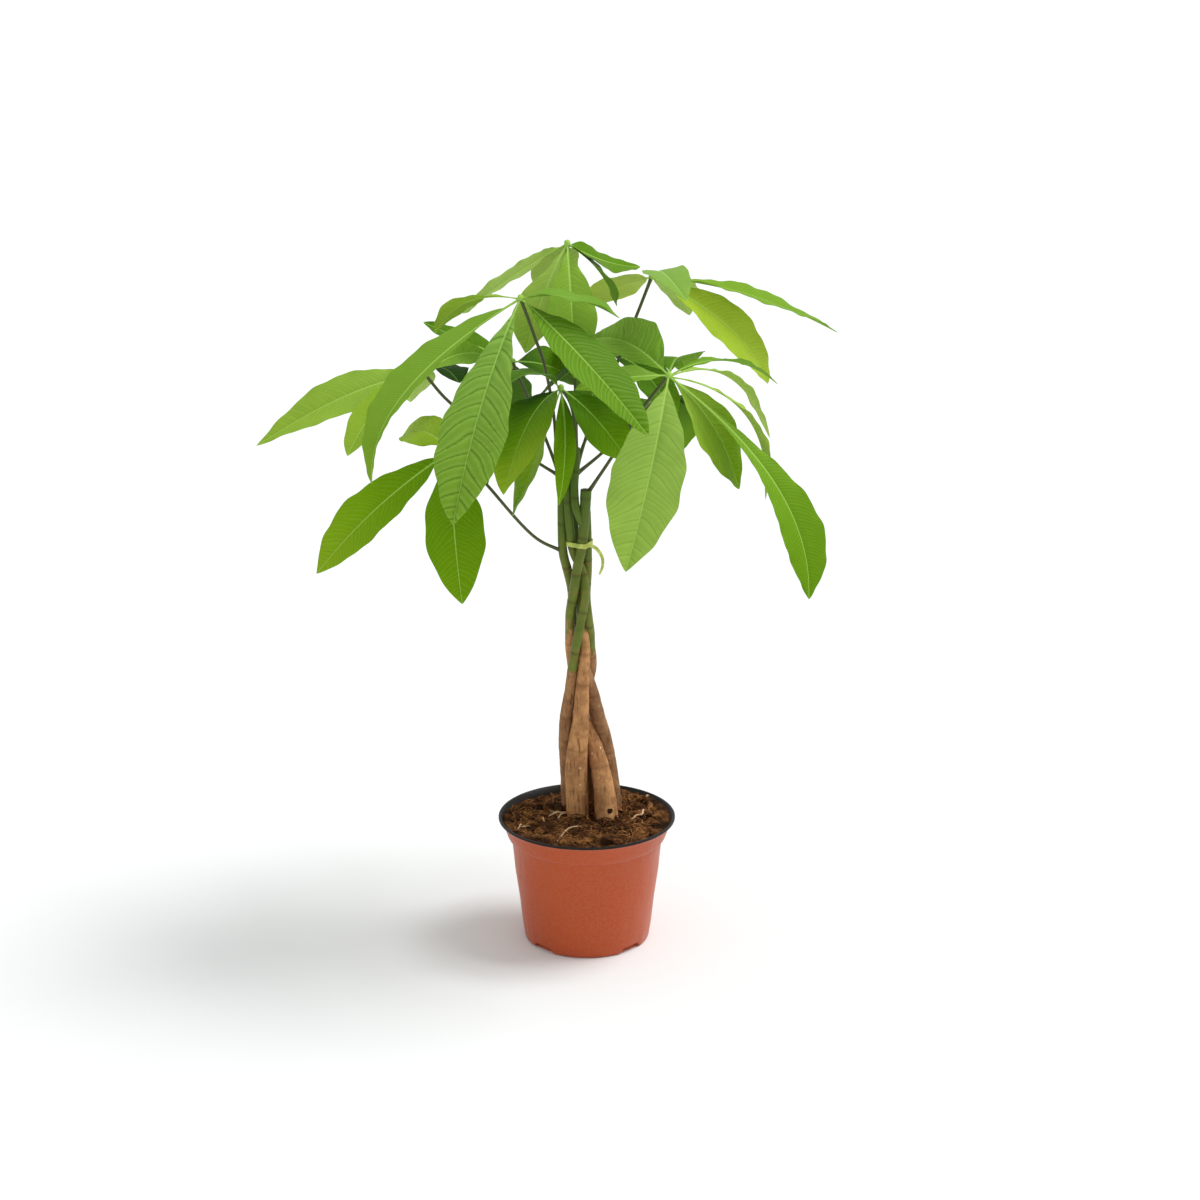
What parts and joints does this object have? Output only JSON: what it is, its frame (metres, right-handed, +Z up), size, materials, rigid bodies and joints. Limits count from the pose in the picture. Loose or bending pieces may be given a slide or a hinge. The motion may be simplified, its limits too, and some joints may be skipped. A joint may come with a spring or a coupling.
{
  "type": "potted money tree",
  "caption": "Braided money tree with palmate drooping leaves, growing in a two-colour plastic nursery pot of peat.",
  "frame": {"origin": "on the pot's axis, on the flat underside that the pot stands on", "axes": "+Z up; +Y away from the picture's viewer; +X to the viewer's right; millimetres in the source, metres in the row"},
  "size_m": [0.5479, 0.3894, 0.6784],
  "materials": {
    "pot": "satin",
    "soil": "rough",
    "bark": "rough",
    "shoot": "satin",
    "tie": "satin",
    "leaf": "satin"
  },
  "bodies": {
    "root": {"pot": "pot", "potting_soil": "soil", "trunk_1": "bark", "trunk_2": "bark", "trunk_3": "bark", "trunk_4": "bark", "trunk_5": "bark", "shoot_1": "shoot", "shoot_2": "shoot", "shoot_3": "shoot", "shoot_4": "shoot", "shoot_5": "shoot", "tie": "tie", "leaf_top": "leaf", "leaf_front_left": "leaf", "leaf_right_high": "leaf", "leaf_right_low": "leaf", "leaf_left": "leaf", "leaf_left_low": "leaf", "leaf_middle": "leaf", "leaf_back_right": "leaf", "leaf_back_left": "leaf", "leaf_back_low": "leaf"}
  },
  "joints": []
}
